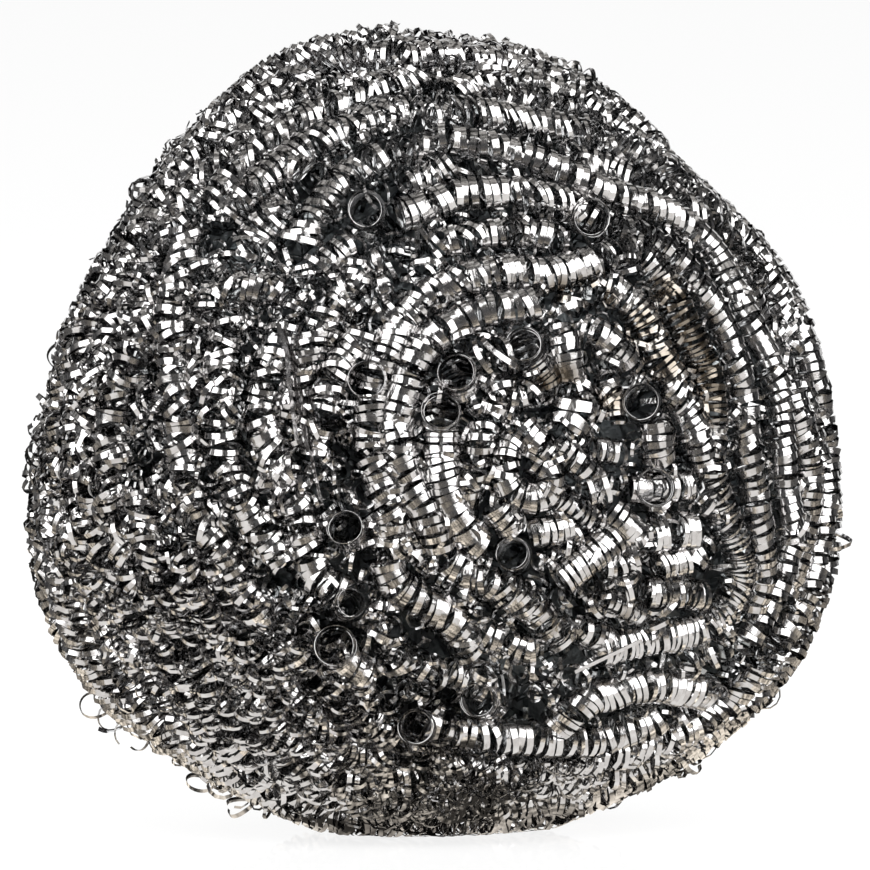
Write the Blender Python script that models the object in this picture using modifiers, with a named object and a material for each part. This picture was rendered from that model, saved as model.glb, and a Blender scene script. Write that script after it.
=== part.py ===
# A metal scourer: one long coiled strand of flat stainless ribbon, wound and folded into a round bun.
#
# The bun stands on its rim, as it was set down, on a small flat spot that its own weight presses into it.
# Metres, +Z up. The bun's face, where the windings close in on their middle, looks along -Y. The origin is
# on the floor, under the middle of the bun. The strand is a coil like a soft spring, so from a step away it
# reads as a fat round cord, and that is how it is built here: a cord wound over a packed middle, as one
# solid. Where an end of the coil looks out of the front its opening shows, and there are hollows between
# the strands.

import math

import bmesh
import bpy
from mathutils import Vector

# the bun as wound, before its own weight flattens a spot under it
BUN_WIDTH = 0.0846
BUN_DEPTH = 0.0680
BUN_HEIGHT = 0.0846
SPOT_DEPTH = 0.0040           # how far the flat spot is pressed in

# the strand: the outer diameter of its coil, and the step from one winding to the next
STRAND_DIAMETER = 0.0039
WINDING_STEP = 0.0037
WOUND_SHARE = 0.80            # a wound stretch without its stray turns, as a share of the strand's diameter
STRAND_RUN = 0.0030           # length of one straight run along the strand
MARK_STEP = 0.0020            # step of the points that keep the spiral clear of the drawn strands
STRAND_CLEAR = 0.0028         # from the drawn strands and hollows to the spiral's centre line
LAY_WANDER = 0.0008           # how far a winding strays from its ring
GROOVE_DEPTH = 0.0033         # from the top of a strand down to the packed middle
FIRST_WINDING = 0.0080        # radius of the innermost winding round the pole

# dark hollows between the strands of the front: place on the drawing, radius, and how much deeper than the
# packed middle's skin
HOLLOWS = [
    ((485, 491), 0.0014, 0.0035),
    ((592, 372), 0.0014, 0.0030),
    ((591, 398), 0.0012, 0.0030),
    ((634, 452), 0.0010, 0.0025),
    ((358, 568), 0.0015, 0.0030),
    ((405, 622), 0.0017, 0.0035),
    ((432, 646), 0.0017, 0.0035),
    ((530, 548), 0.0014, 0.0025),
    ((478, 612), 0.0014, 0.0020),
    ((500, 706), 0.0016, 0.0030),
    ((592, 668), 0.0014, 0.0025),
    ((545, 690), 0.0014, 0.0025),
    ((330, 232), 0.0014, 0.0025),
    ((150, 395), 0.0014, 0.0016),
    ((149, 428), 0.0016, 0.0020),
    ((147, 462), 0.0014, 0.0016),
    ((204, 250), 0.0014, 0.0018),
    ((199, 290), 0.0013, 0.0016),
    ((199, 378), 0.0013, 0.0016),
    ((245, 412), 0.0012, 0.0018),
    ((249, 446), 0.0013, 0.0020),
    ((254, 562), 0.0014, 0.0020),
]

# the open ends of the coil that look out of the front
MOUTH_SHARE = 0.62            # diameter of the opening as a share of the strand's there
MOUTH_DEPTH = 0.0020
MOUTH_SIDES = 10

# the drawing of the front: tenths of a millimetre, across from the left and down from the top,
# seen from in front, turned towards the bun's left and from a little above
DRAWING_UNIT = 0.0001
DRAWING_WIDTH = 0.0846        # size of the drawn bun, which the drawing is stretched from
DRAWING_HEIGHT = 0.0846
DRAWING_MIDDLE = 436
DRAWING_FLOOR = 832
VIEW_TURN = math.radians(-27)
VIEW_RISE = math.radians(3.5)

# swellings and hollows of the outline: place on the drawing as an angle from the right, rise, half width
SWELLINGS = [
    (math.radians(207), 0.0020, math.radians(22)),
    (math.radians(328), 0.0022, math.radians(23)),
    (math.radians(105), 0.0014, math.radians(14)),
    (math.radians(47), -0.0030, math.radians(24)),
    (math.radians(155), -0.0026, math.radians(19)),
    (math.radians(290), -0.0022, math.radians(24)),
    (math.radians(241), -0.0015, math.radians(24)),
]

# the skin's mesh
SKIN_CELL = 0.00060
SKIN_TRIANGLES = 11000
FLOOR_PLATE = 0.2             # side of the cutter under the floor

# strands that the front shows by themselves: diameter as a share of the strand's own, how much lower than
# the skin it lies in drawing units, and its way. A third number at a place is how much deeper it lies there
STRANDS = {
    "outer_arc": (0.95, 0, [(440, 138), (490, 147), (540, 162), (600, 189), (665, 213), (707, 245),
                            (735, 298), (762, 352), (779, 405), (788, 460), (792, 510), (780, 570),
                            (757, 617), (742, 645)]),
    "second_arc": (0.90, 0, [(613, 228), (650, 239), (680, 263), (712, 306), (734, 355), (748, 398),
                             (753, 450), (766, 510), (762, 560), (750, 615)]),
    "third_arc": (0.90, 2, [(600, 258), (618, 251), (640, 256), (667, 290), (686, 330), (706, 372),
                            (711, 420), (709, 465), (722, 512), (739, 560), (727, 602), (695, 629),
                            (640, 640), (595, 650)]),
    "fourth_arc": (0.95, 6, [(605, 285), (638, 315), (656, 352), (676, 388), (692, 420), (703, 458)]),
    "top_arc": (0.95, 0, [(435, 108), (500, 116), (560, 128), (625, 149), (690, 195), (740, 236),
                          (768, 282), (790, 335)]),
    "crown_arc": (0.95, 0, [(330, 62), (400, 58), (470, 62), (540, 78), (600, 102), (660, 142)]),
    "right_rim": (0.95, 0, [(803, 330), (815, 380), (825, 430), (828, 480), (824, 530), (812, 578),
                            (794, 615), (772, 645)]),
    "upper_bow": (0.95, 0, [(398, 216), (430, 205), (463, 195), (513, 193), (550, 200), (578, 212)]),
    "upper_bow_end": (0.90, 0, [(584, 212), (594, 220)]),
    "short_bow": (0.85, 4, [(435, 243), (463, 240), (510, 232), (565, 240)]),
    "wide_ring": (0.95, 2, [(595, 262), (548, 274), (500, 272), (455, 283), (418, 305), (394, 338),
                            (376, 385), (370, 440), (383, 490), (392, 522), (388, 546)]),
    "ring_fold": (0.98, 0, [(385, 561), (397, 584), (421, 601), (445, 615), (462, 634), (469, 650)]),
    "inner_ring": (0.95, 1, [(540, 303), (490, 310), (448, 328), (415, 360), (399, 405), (398, 450),
                             (413, 490), (432, 527), (440, 546)]),
    "inner_ring_tail": (0.90, 3, [(446, 557), (462, 570), (480, 580), (497, 590)]),
    "lower_bow": (0.95, 0, [(425, 722), (460, 732), (505, 736), (560, 740), (607, 735), (660, 716)]),
    "lower_arc": (0.95, 1, [(555, 728), (575, 709), (600, 695), (650, 685), (705, 692)]),
    "slant": (0.95, 2, [(500, 585), (522, 601), (542, 617), (562, 638)]),
    "low_patch": (0.90, 3, [(394, 658), (412, 664), (432, 672)]),
    "grey_bow": (0.85, 8, [(482, 632), (500, 641), (518, 646), (538, 652)]),
    "grey_tail": (0.85, 8, [(572, 626), (590, 632), (608, 644)]),
    "patch_tail": (0.85, 6, [(445, 665), (470, 680), (500, 690)]),
    "left_slope": (0.95, 1, [(231, 316), (224, 345), (221, 385), (224, 430), (228, 466), (241, 498),
                             (260, 527), (281, 560)]),
    "left_tangle": (0.90, 2, [(214, 296), (236, 289), (262, 288), (292, 293)]),
    "left_fold": (0.96, 1, [(262, 405), (265, 432), (274, 456), (284, 480), (296, 503), (303, 524),
                            (306, 545), (312, 566), (326, 584), (347, 596)]),
    "left_low": (0.95, 3, [(228, 580), (248, 603), (271, 628), (298, 656)]),
    "left_upright": (0.95, 0, [(189, 232), (182, 268), (174, 305), (172, 345), (178, 385), (182, 425),
                               (185, 466), (194, 508)]),
    "upper_left": (0.90, 2, [(298, 245), (318, 211), (349, 176), (387, 158), (425, 146)]),
    "upper_left_end": (0.85, 3, [(318, 268), (352, 241)]),
    "mouth_arch": (0.95, 4, [(572, 300, 14), (566, 311, 6), (562, 324, 4)]),
    "mouth_strand": (0.88, 0, [(563, 334, 2), (565, 348), (568, 366, 1), (571, 382, 6)]),
    "crescents": (1.20, 0, [(486, 357), (499, 354), (514, 349)]),
    "dark_mouth": (0.92, 0, [(524, 344, -17), (528, 351, 2), (539, 367, 8), (550, 384, 12)]),
    "open_ring": (0.94, 0, [(457, 371, -20), (458, 376), (463, 392, 14)]),
    "small_ring": (0.98, 0, [(441, 410, -20), (441, 418), (441, 440, 4), (442, 470, 1), (449, 500, 2),
                             (464, 528, 5), (478, 545, 9)]),
    "stack_drop": (0.80, 2, [(502, 383), (497, 405), (484, 425), (479, 446), (477, 468), (468, 490)]),
    "two_loops": (0.80, 2, [(510, 397), (519, 396), (531, 393)]),
    "fan": (1.30, 1, [(575, 386, 8), (575, 402, 2), (569, 418), (563, 433, 6)]),
    "slope_barrel": (0.90, 1, [(589, 331, 8), (604, 338), (618, 350), (630, 367, 6)]),
    "brown_barrel": (0.64, 7, [(605, 379), (612, 397), (612, 419)]),
    "bright_loops": (0.72, 0, [(584, 408), (593, 410), (603, 412)]),
    "facing_ring": (0.94, 0, [(641, 402, -22), (642, 403, -4), (645, 408, 20)]),
    "right_slope": (0.90, 1, [(668, 386), (680, 405), (691, 426), (699, 448), (706, 470)]),
    "right_barrel": (0.92, 0, [(654, 425), (655, 440), (657, 455), (659, 468, 6)]),
    "black_mouth": (0.96, 0, [(656, 487, -23), (653, 488, -2), (648, 489, 26)]),
    "behind_mouth": (0.85, 12, [(626, 488), (655, 488), (686, 486)]),
    "crescent": (1.00, 1, [(587, 489), (600, 486), (613, 488)]),
    "middle_barrel": (0.85, 1, [(560, 445), (572, 457), (584, 468), (592, 477, 8)]),
    "middle_top": (0.70, 2, [(586, 449), (604, 450), (622, 454)]),
    "inner_barrel": (0.88, 0, [(525, 431, 4), (537, 444), (551, 457, 4)]),
    "flower": (0.80, 0, [(514, 438, 3), (505, 459), (506, 484), (524, 500), (546, 492), (551, 474),
                         (538, 464, 6)]),
    "flower_tail": (0.80, 2, [(549, 494), (566, 503), (584, 514), (597, 521, 4)]),
    "low_barrel": (0.80, 2, [(495, 505), (505, 520), (515, 536)]),
    "low_mid_barrel": (0.78, 2, [(530, 533), (548, 530), (568, 526)]),
    "big_barrel": (1.00, -3, [(560, 578), (588, 557), (613, 537)]),
    "small_slope": (0.88, 0, [(612, 513, 4), (624, 526), (637, 539, 4)]),
    "left_lobe": (0.88, 0, [(649, 537), (658, 536), (668, 536)]),
    "right_lobe": (1.02, 0, [(674, 531), (684, 531), (695, 530)]),
    "bright_pair": (0.64, 1, [(604, 567), (620, 565), (638, 563)]),
    "small_barrel": (0.66, 3, [(606, 600), (623, 606), (640, 614)]),
    "bright_right": (0.82, 1, [(656, 566), (669, 563), (684, 560)]),
    "flat_barrel": (0.85, 1, [(646, 592), (670, 592), (702, 596)]),
    "upper_mouth": (0.95, 0, [(592, 217, -20), (570, 213, 30)]),
    "left_mouth": (0.95, 0, [(367, 379, -20), (370, 382, 30)]),
    "top_left_mouth": (0.90, 0, [(366, 209, -20), (370, 217, 30)]),
    "low_left_mouth": (1.05, 0, [(335, 645, -22), (337, 650), (348, 664, 2), (364, 678, 6)]),
    "low_mouth": (0.90, 0, [(478, 700, -20), (492, 702, 30)]),
    "bottom_mouth": (0.90, 0, [(416, 726, -20), (434, 730, 30)]),
    "left_middle_mouth": (0.90, 0, [(345, 527, -20), (353, 537, 30)]),
    "small_left_mouth": (0.75, 0, [(350, 603, -20), (340, 611, 30)]),
    "middle_mouth": (0.85, 0, [(512, 553, -20), (518, 559, 30)]),
}
OPEN_ENDS = ["dark_mouth", "open_ring", "small_ring", "facing_ring", "black_mouth", "upper_mouth",
             "left_mouth", "top_left_mouth", "low_left_mouth", "low_mouth", "bottom_mouth",
             "left_middle_mouth", "small_left_mouth", "middle_mouth"]


def view_axes():
    """Unit vectors to the right, up and towards the eye on the drawing."""
    back = Vector((math.sin(VIEW_TURN) * math.cos(VIEW_RISE),
                   -math.cos(VIEW_TURN) * math.cos(VIEW_RISE),
                   math.sin(VIEW_RISE)))
    right = Vector((math.cos(VIEW_TURN), math.sin(VIEW_TURN), 0))
    return right, back.cross(right), back


RIGHT, UP, BACK = view_axes()


def skin_reach(direction):
    """Distance from the bun's middle to its skin along a unit direction."""
    across = direction.x / (BUN_WIDTH / 2)
    along = direction.y / (BUN_DEPTH / 2)
    upward = direction.z / (BUN_HEIGHT / 2)
    reach = 1 / math.sqrt(across ** 2 + along ** 2 + upward ** 2)
    for place, rise, spread in SWELLINGS:
        towards = RIGHT * math.cos(place) + UP * math.sin(place)
        away = direction.angle(towards)
        reach += rise * math.exp(-(away / spread) ** 2)
    return reach


def on_skin(direction, depth):
    """Point under the skin by a depth, measured from the bun's middle, with the floor at z = 0."""
    middle_height = BUN_HEIGHT / 2 - SPOT_DEPTH
    point = direction * (skin_reach(direction) - depth)
    point.z += middle_height
    return point


def on_drawing(across, down, depth, deeper=0):
    """Point of the front that the drawing shows at a place, under the skin by a depth in metres.

    What it lies deeper than that is in drawing units.
    """
    depth += deeper * DRAWING_UNIT
    right = (across - DRAWING_MIDDLE) * DRAWING_UNIT * BUN_WIDTH / DRAWING_WIDTH
    height = (DRAWING_FLOOR - down) * DRAWING_UNIT * BUN_HEIGHT / DRAWING_HEIGHT
    sideways = RIGHT * right + UP * (height - (BUN_HEIGHT / 2 - SPOT_DEPTH) * UP.z)
    near, far = 0.0, max(BUN_WIDTH, BUN_DEPTH)
    for _ in range(24):
        guess = (near + far) / 2
        point = sideways + BACK * guess
        if point.length > skin_reach(point.normalized()) - depth:
            far = guess
        else:
            near = guess
    direction = (sideways + BACK * near).normalized()
    return on_skin(direction, depth)


def smooth_way(points, run):
    """Even steps along a smooth curve through the points."""
    ends = [points[0] * 2 - points[1]] + points + [points[-1] * 2 - points[-2]]
    dense = []
    for before, start, stop, after in zip(ends, ends[1:], ends[2:], ends[3:]):
        pieces = max(2, round((stop - start).length / (run / 4)))
        for piece in range(pieces):
            t = piece / pieces
            dense.append(0.5 * (2 * start + (stop - before) * t
                                + (2 * before - 5 * start + 4 * stop - after) * t ** 2
                                + (3 * start - before - 3 * stop + after) * t ** 3))
    dense.append(points[-1])
    length = sum((b - a).length for a, b in zip(dense, dense[1:]))
    steps = max(1, round(length / run))
    even = [dense[0]]
    walked = 0.0
    for a, b in zip(dense, dense[1:]):
        walked += (b - a).length
        if walked >= length / steps * len(even) and len(even) < steps:
            even.append(b)
    even.append(dense[-1])
    return even


def drawn_strands():
    """Centre lines of the strands on the drawing by their names, with their diameters."""
    strands = {}
    for name, (thickness, drop, places) in STRANDS.items():
        diameter = thickness * STRAND_DIAMETER
        depth = diameter / 2 + drop * DRAWING_UNIT
        points = [on_drawing(*place[:2], depth, *place[2:]) for place in places]
        strands[name] = (diameter, smooth_way(points, MARK_STEP))
    return strands


def wound_strands(drawn):
    """The rest of the winding: one spiral from pole to pole, broken at the drawn strands and hollows."""
    depth = WOUND_SHARE * STRAND_DIAMETER / 2
    drawn_points = [point for _, way in drawn.values() for point in way]
    drawn_points += [on_drawing(*place, depth) for place, _, _ in HOLLOWS]
    mean_radius = (BUN_WIDTH + BUN_DEPTH + BUN_HEIGHT) / 6
    polar = FIRST_WINDING / mean_radius
    round_angle = 0.0
    strands = []
    way = []
    while polar < math.pi - FIRST_WINDING / mean_radius / 2:
        wander = math.sin(3 * round_angle + 4 * polar) + 0.6 * math.sin(5.3 * round_angle)
        lean = polar + wander * LAY_WANDER / mean_radius
        direction = Vector((math.sin(lean) * math.cos(round_angle), -math.cos(lean),
                            math.sin(lean) * math.sin(round_angle)))
        point = on_skin(direction, depth + LAY_WANDER * (0.5 + 0.5 * math.sin(7.1 * round_angle)))
        if min((point - other).length for other in drawn_points) > STRAND_CLEAR:
            way.append(point)
        else:
            if len(way) > 2:
                strands.append((WOUND_SHARE * STRAND_DIAMETER, way))
            way = []
        turn = STRAND_RUN / max(mean_radius * math.sin(polar), STRAND_DIAMETER)
        round_angle += turn
        polar += WINDING_STEP / mean_radius * turn / (2 * math.pi)
    strands.append((WOUND_SHARE * STRAND_DIAMETER, way))
    return strands


def strand_tubes(strands):
    """Curve object with one round cord for each strand."""
    curve = bpy.data.curves.new("strand_tubes", "CURVE")
    curve.dimensions = "3D"
    curve.bevel_depth = STRAND_DIAMETER / 2
    curve.bevel_resolution = 2
    curve.use_fill_caps = True
    for diameter, way in strands:
        spline = curve.splines.new("POLY")
        spline.points.add(len(way) - 1)
        for spot, point in zip(spline.points, way):
            spot.co = (*point, 1)
            spot.radius = diameter / STRAND_DIAMETER
    tubes = bpy.data.objects.new("strand_tubes", curve)
    bpy.context.scene.collection.objects.link(tubes)
    bpy.context.view_layer.update()
    return tubes


def packed_middle():
    """Mesh of the packed windings under the outer ones."""
    middle = bmesh.new()
    bmesh.ops.create_uvsphere(middle, u_segments=192, v_segments=128, radius=1)
    hollows = [(on_drawing(*place, GROOVE_DEPTH), radius, deeper) for place, radius, deeper in HOLLOWS]
    for corner in middle.verts:
        direction = corner.co.normalized()
        corner.co = on_skin(direction, GROOVE_DEPTH)
        sunk = sum(deeper * math.exp(-((corner.co - place).length / radius) ** 2)
                   for place, radius, deeper in hollows)
        corner.co = on_skin(direction, GROOVE_DEPTH + sunk)
    return middle


def mouth_cutter(drawn, cutters):
    """One round plug for each open end of the coil, joined, which cuts the openings."""
    bpy.ops.object.select_all(action="DESELECT")
    plugs = []
    for name in OPEN_ENDS:
        diameter, way = drawn[name]
        outward = (way[0] - way[1]).normalized()
        bpy.ops.mesh.primitive_cylinder_add(vertices=MOUTH_SIDES, radius=MOUTH_SHARE * diameter / 2,
                                            depth=2 * MOUTH_DEPTH, location=way[0],
                                            rotation=outward.to_track_quat("Z", "Y").to_euler())
        plugs.append(bpy.context.object)
    for plug in plugs:
        plug.select_set(True)
    bpy.ops.object.join()
    return set_aside(bpy.context.object, "mouth_cutter", cutters)


def set_aside(cutter, name, cutters):
    """Gives a cutter its name, and keeps it in its own collection, out of the render."""
    cutter.name = name
    cutter.display_type = "WIRE"
    cutter.hide_render = True
    for owner in list(cutter.users_collection):
        owner.objects.unlink(cutter)
    cutters.objects.link(cutter)
    return cutter


def floor_cutter(cutters):
    """Block under the floor, which presses the flat spot."""
    bpy.ops.mesh.primitive_cube_add(size=FLOOR_PLATE, location=(0, 0, -FLOOR_PLATE / 2))
    return set_aside(bpy.context.object, "floor_cutter", cutters)


def stainless():
    """Bright drawn stainless ribbon."""
    material = bpy.data.materials.new("stainless_ribbon")
    material.use_nodes = True
    shader = material.node_tree.nodes["Principled BSDF"]
    shader.inputs["Base Color"].default_value = (0.52, 0.50, 0.48, 1)
    shader.inputs["Metallic"].default_value = 1.0
    shader.inputs["Roughness"].default_value = 0.25
    return material


def triangle_count(thing):
    """Triangles of an object's evaluated mesh."""
    bpy.context.view_layer.update()
    shown = thing.evaluated_get(bpy.context.evaluated_depsgraph_get()).data
    shown.calc_loop_triangles()
    return len(shown.loop_triangles)


def wound_ribbon_coil(parts, cutters):
    """The whole bun as one solid: strands and packed middle under one skin, pressed flat underneath."""
    drawn = drawn_strands()
    tubes = strand_tubes(list(drawn.values()) + wound_strands(drawn))
    bun = packed_middle()
    round_cords = bpy.data.meshes.new_from_object(tubes.evaluated_get(bpy.context.evaluated_depsgraph_get()))
    bun.from_mesh(round_cords)
    mesh = bpy.data.meshes.new("wound_ribbon_coil")
    bun.to_mesh(mesh)
    bun.free()
    bpy.data.objects.remove(tubes)
    thing = bpy.data.objects.new("wound_ribbon_coil", mesh)
    parts.objects.link(thing)
    mesh.materials.append(stainless())

    skin = thing.modifiers.new("skin", "REMESH")
    skin.mode = "VOXEL"
    skin.voxel_size = SKIN_CELL
    fewer = thing.modifiers.new("fewer_faces", "DECIMATE")
    fewer.ratio = 1.0
    fewer.ratio = min(1.0, SKIN_TRIANGLES / triangle_count(thing))
    mouths = thing.modifiers.new("mouths", "BOOLEAN")
    mouths.operation = "DIFFERENCE"
    mouths.object = mouth_cutter(drawn, cutters)
    spot = thing.modifiers.new("flat_spot", "BOOLEAN")
    spot.operation = "DIFFERENCE"
    spot.object = floor_cutter(cutters)
    return thing


def main():
    for thing in list(bpy.data.objects):
        bpy.data.objects.remove(thing)
    parts = bpy.data.collections.new("metal_scourer")
    cutters = bpy.data.collections.new("cutters")
    bpy.context.scene.collection.children.link(parts)
    bpy.context.scene.collection.children.link(cutters)
    wound_ribbon_coil(parts, cutters)


main()
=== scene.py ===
import math

import bmesh
import bpy
import numpy as np
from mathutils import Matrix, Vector


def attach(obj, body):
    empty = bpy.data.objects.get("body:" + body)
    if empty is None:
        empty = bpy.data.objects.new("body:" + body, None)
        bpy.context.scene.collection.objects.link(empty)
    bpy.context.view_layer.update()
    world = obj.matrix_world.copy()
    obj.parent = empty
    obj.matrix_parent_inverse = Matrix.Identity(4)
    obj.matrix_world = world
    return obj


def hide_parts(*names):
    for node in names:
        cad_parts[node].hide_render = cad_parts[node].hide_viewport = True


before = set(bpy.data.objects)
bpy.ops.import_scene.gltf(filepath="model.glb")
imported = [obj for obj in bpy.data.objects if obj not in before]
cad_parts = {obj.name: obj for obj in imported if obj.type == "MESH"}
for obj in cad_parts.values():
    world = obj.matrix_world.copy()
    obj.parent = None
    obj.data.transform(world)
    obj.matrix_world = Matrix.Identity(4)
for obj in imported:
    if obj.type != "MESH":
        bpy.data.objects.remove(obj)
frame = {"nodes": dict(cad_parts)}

# Metal scourer: a bun of coiled stainless ribbon, standing on its rim.
# The solid from the frame has the bun's form and its windings as plain cords. Here every winding is the
# real thing, a spring of flat ribbon, laid along the same ways.

scene = bpy.context.scene
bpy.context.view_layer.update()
print("frame loaded:", ", ".join(frame["nodes"]))


# the bun and the drawing of its front, as in the part's source

bun = {
    "width": 0.0846,
    "depth": 0.0680,
    "height": 0.0846,
    "spotDepth": 0.0040,
}
drawing = {
    "unit": 0.0001,          # a tenth of a millimetre
    "middle": 436,
    "floor": 832,
    "turn": math.radians(-27),
    "rise": math.radians(3.5),
    "eyeDistance": 2.0,
    "reach": 0.09,           # more than the bun stands out towards the eye
    "halvings": 26,          # of that reach, to find the skin under a place
}
swellings = [                # degrees round the front from its right, rise, spread in degrees
    (207, 0.0020, 22),
    (328, 0.0022, 23),
    (105, 0.0014, 14),
    (47, -0.0030, 24),
    (155, -0.0026, 19),
    (290, -0.0022, 24),
    (241, -0.0015, 24),
]


def pointing(turn, rise):    # out from the bun, turned about the upright and raised
    return np.array((math.sin(turn) * math.cos(rise), -math.cos(turn) * math.cos(rise), math.sin(rise)))


def viewAxes():              # to the right, up and towards the eye
    back = pointing(drawing["turn"], drawing["rise"])
    right = np.array((math.cos(drawing["turn"]), math.sin(drawing["turn"]), 0.0))
    return right, np.cross(back, right), back


toRight, toTop, toEye = viewAxes()
halfSizes = np.array((bun["width"], bun["depth"], bun["height"])) / 2
middleHeight = bun["height"] / 2 - bun["spotDepth"]
bunMiddle = np.array((0, 0, middleHeight))
wayDetail = 40               # places worked out between two points of a way


def unit(vectors):
    return vectors / np.linalg.norm(vectors, axis=-1, keepdims=True)


def skinReach(directions):   # from the bun's middle to its skin
    reach = 1 / np.linalg.norm(directions / halfSizes, axis=-1)
    for place, rise, spread in swellings:
        towards = toRight * math.cos(math.radians(place)) + toTop * math.sin(math.radians(place))
        away = np.degrees(np.arccos(np.clip(directions @ towards, -1, 1)))
        reach = reach + rise * np.exp(-(away / spread) ** 2)
    return reach


def onSkin(directions, depth):
    points = directions * (skinReach(directions) - depth)[..., None]
    points[..., 2] += middleHeight
    return points


def onDrawing(places, depth):    # points of the front under the places of the drawing
    depth = depth + np.array([place[2] if len(place) > 2 else 0 for place in places]) * drawing["unit"]
    places = np.array([place[:2] for place in places], float)
    across = (places[:, 0] - drawing["middle"]) * drawing["unit"]
    height = (drawing["floor"] - places[:, 1]) * drawing["unit"] - middleHeight * toTop[2]
    flat = across[:, None] * toRight + height[:, None] * toTop
    near = np.zeros(len(places))
    far = np.full(len(places), drawing["reach"])
    for _ in range(drawing["halvings"]):
        guess = (near + far) / 2
        points = seenFrom(flat, guess)
        outside = np.linalg.norm(points, axis=1) > skinReach(unit(points)) - depth
        far = np.where(outside, guess, far)
        near = np.where(outside, near, guess)
    return onSkin(unit(seenFrom(flat, near)), depth)


def seenFrom(flat, near):        # the camera sees what is nearer a little larger
    return flat * (1 - near / drawing["eyeDistance"])[:, None] + near[:, None] * toEye


def smoothWay(points, run):      # even steps along a smooth curve through the points
    ends = np.vstack((2 * points[0] - points[1], points, 2 * points[-1] - points[-2]))
    part = np.linspace(0, 1, wayDetail, endpoint=False)[:, None]
    dense = [0.5 * (2 * here + (there - before) * part
                    + (2 * before - 5 * here + 4 * there - after) * part ** 2
                    + (3 * here - before - 3 * there + after) * part ** 3)
             for before, here, there, after in zip(ends, ends[1:], ends[2:], ends[3:])]
    dense = np.vstack(dense + [points[-1:]])
    walked = np.concatenate(((0,), np.cumsum(np.linalg.norm(np.diff(dense, axis=0), axis=1))))
    even = np.linspace(0, walked[-1], max(3, int(round(walked[-1] / run)) + 1))
    return np.column_stack([np.interp(even, walked, dense[:, axis]) for axis in range(3)]), walked[-1]


# springs of flat ribbon

ribbon = {
    "strand": 0.0039,        # outer diameter of a full winding
    "thickness": 0.00012,    # at the middle of its three-sided section
    "run": 0.0009,           # step of the ways that the springs are laid along
    "widths": (0.92, 1.08),  # of a spring's ribbon, as shares of its look's width
    "strays": (0.15, 0.50),  # how far a straying turn stands out, as a share of the radius
    "patterns": 50,          # each spring's lines and smears start elsewhere in this range
    "crease": math.radians(50),      # sharper edges show as edges
}
lookWords = (                # what a look says of its turns
    "pitch",                 # step from one to the next
    "width",                 # of the ribbon
    "bunch",                 # how they crowd and part, in steps
    "lean",                  # how they tilt
    "wobble",                # how their size changes
    "wander",                # how they shift sideways
    "slump",                 # how they lean one way, as fallen hoops do
    "shingle",               # how each lies over the next, in degrees
    "twist",                 # how that changes along the ribbon, in degrees
    "stray",                 # share of turns that stand out
)
lookTable = {
    "packed": (0.00058, 0.00049, 0.25, 0.20, 0.055, 0.02, 0.00, 9, 7, 0.00),
    "thin": (0.00056, 0.00036, 0.25, 0.26, 0.060, 0.02, 0.10, 18, 10, 0.00),
    "barrel": (0.00074, 0.00054, 0.35, 0.30, 0.070, 0.04, 0.08, 10, 8, 0.00),
    "rope": (0.00096, 0.00068, 0.35, 0.30, 0.060, 0.04, 0.08, 8, 7, 0.00),
    "hoops": (0.00084, 0.00048, 0.35, 0.40, 0.070, 0.05, 0.50, 16, 12, 0.00),
    "easy": (0.00090, 0.00060, 0.60, 0.52, 0.12, 0.08, 0.22, 8, 11, 0.01),
    "loose": (0.00088, 0.00054, 0.80, 0.68, 0.16, 0.12, 0.35, 6, 14, 0.02),
    "tangled": (0.00086, 0.00048, 1.00, 0.90, 0.22, 0.20, 0.45, 4, 20, 0.03),
    "hanging": (0.00040, 0.00046, 0.20, 0.14, 0.10, 0.02, 0.00, 5, 14, 0.00),
    "fine": (0.00070, 0.00036, 0.80, 0.80, 0.20, 0.10, 0.30, 4, 25, 0.00),
    "deep": (0.00115, 0.00050, 0.90, 0.90, 0.15, 0.20, 0.30, 4, 20, 0.00),
    "inner": (0.00165, 0.00058, 0.80, 0.90, 0.15, 0.20, 0.30, 4, 15, 0.00),
}
looks = {name: dict(zip(lookWords, values)) for name, values in lookTable.items()}
beats = {                    # turns from one random change to the next
    "size": 0.7,
    "lean": 0.8,
    "fallen": 14,
    "bunch": 2.2,
    "wander": 1.5,
    "twist": 0.7,
}
turnSides = {                # straight runs that make one turn
    "drawn": 16,
    "outer": 12,
    "deep": 8,
    "inner": 6,
    "curl": 12,
    "loop": 24,
    "fineCurl": 8,
    "hanging": 16,
}
seeds = {
    "drawn": 100,
    "rims": 700,
    "outer": (1000, 1500, 2000),
    "deep": 5000,
    "strips": 7,
    "curls": 77,
    "fineCurls": 177,
    "hanging": 277,
}


def placesOf(mesh):
    places = np.empty(len(mesh.vertices) * 3)
    mesh.vertices.foreach_get("co", places)
    return places.reshape(-1, 3)


def putPlaces(mesh, places):
    mesh.vertices.foreach_set("co", places.ravel())


def added(name, add, location=(0, 0, 0), **sizes):   # a new primitive, with nothing else selected
    bpy.ops.object.select_all(action="DESELECT")
    add(location=location, **sizes)
    thing = bpy.context.object
    thing.name = name
    return thing


def screwed(section, angle, step, sides, turnCount=1):   # carries a section round and along x
    screw = section.modifiers.new("turns", "SCREW")
    screw.axis = "X"
    screw.angle = angle
    screw.screw_offset = step
    screw.iterations = turnCount
    screw.steps = screw.render_steps = sides
    bpy.ops.object.modifier_apply(modifier=screw.name)
    closeEnds(section)


def storeOn(mesh, name, values):     # a number or a vector at each vertex, for the materials
    kind, field = ("FLOAT", "value") if values.ndim == 1 else ("FLOAT_VECTOR", "vector")
    mesh.attributes.new(name, kind, "POINT").data.foreach_set(field, values.ravel())


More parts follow.
